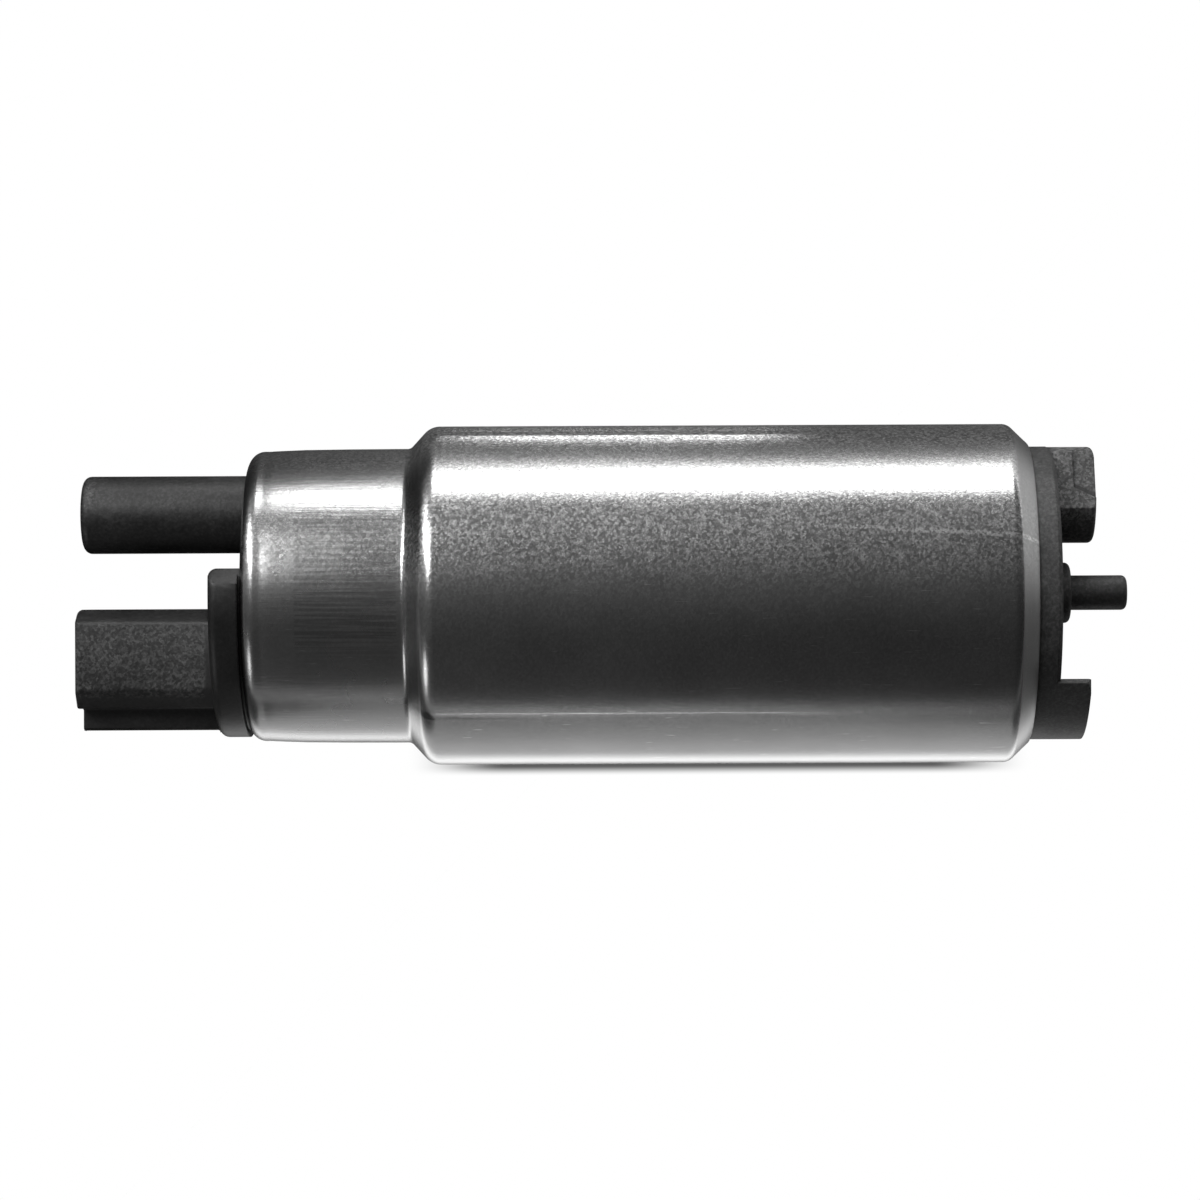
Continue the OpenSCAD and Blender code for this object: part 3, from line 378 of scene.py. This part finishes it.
def cut(obj, outline, low, high, middle=0.0, tilt=0.0):
    """Takes a prism out of an object, in metres: its outline in x and y runs between two heights.

    The prism is tilted about a line along X that passes through y = middle."""
    turn = math.radians(tilt)
    count = len(outline)
    corners = []
    for z in (low, high):
        for x, y in outline:
            across = middle + y * math.cos(turn) + z * math.sin(turn)
            corners.append((x, across, z * math.cos(turn) - y * math.sin(turn)))
    faces = [tuple(reversed(range(count))), tuple(range(count, 2 * count))]
    for i in range(count):
        j = (i + 1) % count
        faces.append((i, j, count + j, count + i))
    mesh = bpy.data.meshes.new("cutter")
    mesh.from_pydata(corners, [], faces)
    cutter = add("cutter", mesh)
    mod = obj.modifiers.new("cut", "BOOLEAN")
    mod.operation = "DIFFERENCE"
    mod.solver = "EXACT"
    mod.object = cutter
    settle(obj)
    bpy.data.objects.remove(cutter)
    bpy.data.meshes.remove(mesh)


def joined_faces(obj):
    """The object's mesh for editing, with its triangles joined into flat faces."""
    normals = obj.data.attributes.get("custom_normal")
    if normals:
        obj.data.attributes.remove(normals)
    bm = bmesh.new()
    bm.from_mesh(obj.data)
    bmesh.ops.remove_doubles(bm, verts=bm.verts, dist=2e-6)
    flat = math.radians(0.5)
    bmesh.ops.dissolve_limit(bm, angle_limit=flat, verts=bm.verts, edges=bm.edges)
    return bm


def round_edges(obj, outside, radius):
    """Rounds the sharp edges whose ends are both outside, a test of x, y and z in metres."""
    bm = joined_faces(obj)
    weight = bm.edges.layers.float.new("bevel_weight_edge")
    for edge in bm.edges:
        if len(edge.link_faces) != 2:
            continue
        sharp = edge.calc_face_angle(0) > math.radians(35)
        if sharp and all(outside(*(obj.matrix_world @ v.co)) for v in edge.verts):
            edge[weight] = 1.0
    bm.to_mesh(obj.data)
    bm.free()
    mod = obj.modifiers.new("round", "BEVEL")
    mod.limit_method = "WEIGHT"
    mod.width = radius
    mod.segments = 3
    mod.use_clamp_overlap = False
    mod.miter_outer = "MITER_ARC"
    settle(obj)


def moulded_copy(node, name):
    """A copy of a CAD cover, to be finished as the mould leaves it."""
    source = NODES[node]
    obj = add(name, source.data.copy())
    obj.matrix_world = source.matrix_world.copy()
    return obj


def finish_cover(obj, node):
    """Smooths a cover's round faces and puts it in the place of its CAD node."""
    obj.data.polygons.foreach_set("use_smooth", [True] * len(obj.data.polygons))
    obj.data.set_sharp_from_angle(angle=math.radians(28))
    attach(obj, "pump_body")
    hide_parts(node)


def outlet_outside(x, y, z):
    """The edges of the connector housing and the plateau, outside the neck."""
    return x < -0.0536 and y < 0.0045


# What the inlet cover loses: the top of its lug, and the boss's flat and notch
LUG_TRIM = [(0.0366, -0.0095), (0.05, -0.0095), (0.05, -0.0065), (0.0366, -0.0065)]
LUG_BACK_TRIM = [(0.0366, -0.0104), (0.05, -0.0104), (0.05, -0.0065), (0.0366, -0.0065)]
BOSS_FLAT = [(0.03662, -0.008), (0.043, -0.008), (0.043, 0.008), (0.03662, 0.008)]
BOSS_NOTCH = [
    (0.0391, -0.0009), (0.0412, -0.0020), (0.043, -0.0027), (0.043, 0.005), (0.0391, 0.0040),
]
INLET_CUTS = [
    (LUG_TRIM, -0.02, 0.02),
    (LUG_BACK_TRIM, -0.02, 0.0),
    (BOSS_FLAT, 0.0042, 0.009, BOSS_Y, BOSS_TILT),
    (BOSS_NOTCH, 0.00385, 0.006, BOSS_Y, BOSS_TILT),
]


def covers():
    """The two moulded covers."""
    outlet = moulded_copy("outlet_cover", "outlet_moulding")
    round_edges(outlet, outlet_outside, radius=0.00025)
    finish_cover(outlet, "outlet_cover")

    inlet = moulded_copy("inlet_cover", "inlet_moulding")
    for shape in INLET_CUTS:
        cut(inlet, *shape)
    bm = joined_faces(inlet)
    bm.to_mesh(inlet.data)
    bm.free()
    finish_cover(inlet, "inlet_cover")


def arc(r, x, radius, start, stop, steps):
    """Points of an arc as (radius, place), by the angle from +X towards the outside."""
    angles = np.radians(np.linspace(start, stop, steps + 1))
    return [(r + radius * math.sin(a), x + radius * math.cos(a)) for a in angles]


def spun(name, profile, segments):
    """A closed profile of (radius, place), in millimetres, spun round the X axis."""
    pts = np.array(profile) / 1000
    count = len(pts)
    turn = 2 * math.pi * np.arange(segments) / segments
    verts = np.empty((segments, count, 3))
    verts[:, :, 0] = pts[None, :, 1]
    verts[:, :, 1] = pts[None, :, 0] * np.cos(turn)[:, None]
    verts[:, :, 2] = pts[None, :, 0] * np.sin(turn)[:, None]
    faces = []
    for i in range(segments):
        a, b = i * count, (i + 1) % segments * count
        for j in range(count):
            k = (j + 1) % count
            faces.append((a + j, b + j, b + k, a + k))
    mesh = bpy.data.meshes.new(name)
    mesh.from_pydata(verts.reshape(-1, 3).tolist(), [], faces)
    mesh.polygons.foreach_set("use_smooth", [True] * len(faces))
    mesh.update()
    return add(name, mesh)


# The can in millimetres: the slope of its shoulder, and the round at the shoulder's foot
SHOULDER_SLOPE = 47.55
FOOT_RADIUS = 0.9


def can():
    """Neck, shoulder and barrel in one skin, rolled in at the neck and crimped at 45 degrees."""
    foot_run = FOOT_RADIUS * math.tan(math.radians(SHOULDER_SLOPE) / 2)
    outside = [(15.0, -52.75), (15.02, -52.88)]
    outside += arc(14.56, -51.3, 1.7, 162, 90, 28)
    outside += [(16.258, -50.9), (16.262, -50.6), (16.285, -50.4)]
    outside += [(16.33, -49.4), (16.375, -48.2), (16.42, -47.0), (16.428, -46.7)]
    outside += [(16.44, -45.5), (16.48, -42.0), (16.49, -39.0), (16.5, -36.5)]
    outside += arc(16.5 + FOOT_RADIUS, -35.0 - foot_run, FOOT_RADIUS, 270, 270 + SHOULDER_SLOPE, 10)
    outside += arc(16.7, -31.7, 2.3, 90 + SHOULDER_SLOPE, 90, 24)
    outside += [(19.0, -31.2), (19.0, -28.0)]
    outside += [(19.0, -24.0 + 6 * i) for i in range(9)]
    outside += [(19.0, 29.5), (19.0, 30.9)]
    outside += arc(17.6, 31.25, 1.4, 90, 45, 12)
    outside += [(17.6, 33.26)]
    outside += arc(16.72, 33.76, 0.3, 45, -40, 6)
    inside = [(16.46, 33.2), (17.2, 32.1), (17.95, 31.2), (18.0, 30.6), (18.0, -31.6)]
    inside += [(17.7, -32.6), (16.3, -33.9), (15.5, -34.7), (15.5, -50.9), (15.3, -51.6), (15.0, -52.0)]
    obj = spun("can_skin", outside + inside, segments=640)
    obj.data.materials.append(STEEL)
    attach(obj, "pump_body")
    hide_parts("case")


# Brightness of the table by its distance in millimetres from the pump's axis, towards the window
TABLE_SPAN = 0.4
TABLE_GLOW = [
    (-400, 0.26), (-205, 0.29), (-123, 0.34), (-76, 0.42), (-64, 0.50), (-54, 0.57), (-42, 0.50),
    (-34, 1.45), (-29, 1.90), (-25, 0.15), (-19, 0.05), (19, 0.05), (27, 0.12), (41, 0.14),
    (52, 0.16), (68, 0.16), (92, 0.19), (132, 0.28), (220, 0.58), (300, 1.3), (400, 2.0),
]


def set_stops(ramp, stops):
    """Gives a colour ramp these (position, grey) stops."""
    while len(ramp.elements) > 1:
        ramp.elements.remove(ramp.elements[-1])
    ramp.elements[0].position = 0.0
    for i, (position, level) in enumerate(stops):
        stop = ramp.elements.new(position) if i else ramp.elements[0]
        stop.color = (level, level, level, 1.0)


def table_glow(m):
    """The table as the pump mirrors it: brighter towards the window, darker to the left."""
    lit = m.node("ShaderNodeValToRGB")
    m.link(m.ramp(m.y, -TABLE_SPAN, TABLE_SPAN, smooth=False), lit.inputs[0])
    set_stops(lit.color_ramp, [((y / TABLE_SPAN / 1000 + 1) / 2, v) for y, v in TABLE_GLOW])
    far_side = m.ramp(m.y, -0.03, 0.03)
    near_left = m.ramp(m.x, -0.074, -0.058, 0.07, 1.0)
    far_left = m.ramp(m.x, -0.075, -0.038, 0.07, 1.0)
    near_right = m.ramp(m.x, 0.040, 0.075, 1.0, 0.15)
    glow = m.times(lit.outputs[0], m.blend(far_side, near_left, far_left))
    glow = m.times(glow, m.blend(far_side, near_right, 1.0))

    # A pool of light beside the barrel, its bright core, and light beyond the pump's right end
    pool = m.times(m.band(m.x, -0.030, 0.008, 0.008), m.band(m.y, 0.030, 0.056, 0.014))
    core = m.times(m.band(m.x, -0.030, 0.006, 0.006), m.band(m.y, 0.042, 0.047, 0.002))
    beyond = m.times(m.ramp(m.x, 0.045, 0.075), m.band(m.y, -0.01, 0.25, 0.03))
    for light, level in ((pool, 0.11), (core, 4.3), (beyond, 0.38)):
        glow = m.math("MULTIPLY_ADD", light, level, glow)
    return glow


def table():
    """A wide pale table top. Close round the pump it keeps the pump's shadow."""
    size = 2.0
    mesh = bpy.data.meshes.new("table")
    corners = [(-size, -size), (size, -size), (size, size), (-size, size)]
    mesh.from_pydata([(x, y, FLOOR_Z) for x, y in corners], [], [(0, 1, 2, 3)])

    m = Mat("table_top")
    m.set(Base_Color=(0.8, 0.8, 0.8, 1.0), Roughness=0.7)
    path = m.node("ShaderNodeLightPath")

    # White for the camera, but for the shade round the pump and the darker shade under its near side
    shade = m.node("ShaderNodeAmbientOcclusion", samples=16)
    shade.inputs["Distance"].default_value = 0.016
    open_sky = m.ramp(shade.outputs["AO"], 0.23, 0.47, 0.1, 1.0)
    under = m.times(m.ramp(m.y, -0.0212, -0.0200), m.ramp(m.y, -0.014, -0.003, 1.0, 0.0))
    under = m.times(under, m.band(m.x, -0.0310, 0.0305, 0.006))
    white = m.node("ShaderNodeEmission")
    m.link(m.times(open_sky, m.blend(under, 1.0, 0.11)), white.inputs["Strength"])
    mirrored = m.node("ShaderNodeEmission")
    m.link(table_glow(m), mirrored.inputs["Strength"])

    surface = m.bsdf.outputs[0]
    for ray, shader in (("Is Camera Ray", white), ("Is Glossy Ray", mirrored)):
        mix = m.node("ShaderNodeMixShader")
        m.link(path.outputs[ray], mix.inputs[0])
        m.link(surface, mix.inputs[1])
        m.link(shader.outputs[0], mix.inputs[2])
        surface = mix.outputs[0]
    m.link(surface, m.out.inputs[0])
    mesh.materials.append(m.mat)
    add("table", mesh)


# Radiance of the room by angle from the zenith, towards the window where positive
ROOM = [
    (-90, 0.30), (-87, 0.20), (-85, 0.20), (-82, 0.20), (-79, 0.08), (-72, 0.042), (-67, 0.04),
    (-58, 0.037), (-30, 0.033), (-14, 0.044), (-3, 0.06), (8, 0.075), (16, 0.103), (23, 0.128),
    (31, 0.155), (38, 0.20), (47, 0.26), (51, 0.30), (54, 0.36), (58, 0.28), (62, 0.2), (90, 0.2),
]

# The room's strength falls from the left to the right, by the x of the direction
ROOM_LEFT = (-0.08, 1.4)
ROOM_RIGHT = (0.09, 0.58)


def room():
    """A dim room round the table, brighter towards the window's side. The camera sees white."""
    world = bpy.data.worlds.new("room")
    bpy.context.scene.world = world
    world.use_nodes = True
    tree = world.node_tree
    tree.nodes.clear()
    out = tree.nodes.new("ShaderNodeOutputWorld")
    coords = tree.nodes.new("ShaderNodeTexCoord")
    split = tree.nodes.new("ShaderNodeSeparateXYZ")
    tree.links.new(coords.outputs["Generated"], split.inputs[0])
    angle = tree.nodes.new("ShaderNodeMath")
    angle.operation = "ARCTAN2"
    tree.links.new(split.outputs[1], angle.inputs[0])
    tree.links.new(split.outputs[2], angle.inputs[1])
    place = tree.nodes.new("ShaderNodeMapRange")
    place.inputs["From Min"].default_value = -math.pi / 2
    place.inputs["From Max"].default_value = math.pi / 2
    tree.links.new(angle.outputs[0], place.inputs["Value"])
    ramp = tree.nodes.new("ShaderNodeValToRGB")
    tree.links.new(place.outputs[0], ramp.inputs[0])
    set_stops(ramp.color_ramp, [((degrees + 90) / 180, level) for degrees, level in ROOM])
    end = tree.nodes.new("ShaderNodeMapRange")
    for socket, v in zip(end.inputs[1:5], (ROOM_LEFT[0], ROOM_RIGHT[0], ROOM_LEFT[1], ROOM_RIGHT[1])):
        socket.default_value = v
    tree.links.new(split.outputs[0], end.inputs[0])
    dim = tree.nodes.new("ShaderNodeBackground")
    tree.links.new(ramp.outputs[0], dim.inputs[0])
    tree.links.new(end.outputs[0], dim.inputs[1])
    white = tree.nodes.new("ShaderNodeBackground")
    white.inputs[0].default_value = (1.0, 1.0, 1.0, 1.0)
    path = tree.nodes.new("ShaderNodeLightPath")
    mix = tree.nodes.new("ShaderNodeMixShader")
    tree.links.new(path.outputs["Is Camera Ray"], mix.inputs[0])
    tree.links.new(dim.outputs[0], mix.inputs[1])
    tree.links.new(white.outputs[0], mix.inputs[2])
    tree.links.new(mix.outputs[0], out.inputs[0])


def softbox(name, place, width, height, radiance, mirrored=True):
    """A soft box at a place, facing the pump."""
    data = bpy.data.lights.new(name, "AREA")
    data.shape = "RECTANGLE"
    data.size = width
    data.size_y = height
    data.energy = radiance * math.pi * width * height
    obj = add(name, data)
    obj.location = place
    obj.rotation_euler = (-Vector(place)).to_track_quat("-Z", "Y").to_euler()
    obj.visible_glossy = mirrored


def camera():
    """A long lens straight above the pump, as in the photograph."""
    data = bpy.data.cameras.new("camera")
    data.lens = 120
    data.sensor_width = 36
    data.shift_x = -0.0375
    data.clip_start = 0.01
    obj = add("camera", data)
    obj.location = (-0.0088, -0.0006, 0.45)
    obj.rotation_euler = (0, 0, math.radians(-0.26))
    bpy.context.scene.camera = obj


covers()
can()
table()
room()
softbox("window", (0.02, 1.2, FLOOR_Z + 0.184), 0.56, 0.332, 5.0)
softbox("window_end", (-0.70, 0.64, 0.73), 0.42, 1.02, 5.0)
softbox("strip", (-0.02, -1.19, 0.093), 0.16, 0.035, 1.4)
softbox("window_far", (-0.8, -0.75, 0.36), 0.3, 0.34, 2.1)
softbox("lamp", (-0.34, 0.86, 0.84), 0.2, 0.25, 1.5)
softbox("fill", (0.0, 1.3, 0.75), 1.1, 0.9, 4.5, mirrored=False)
camera()

view = bpy.context.scene.view_settings
view.view_transform = "Standard"
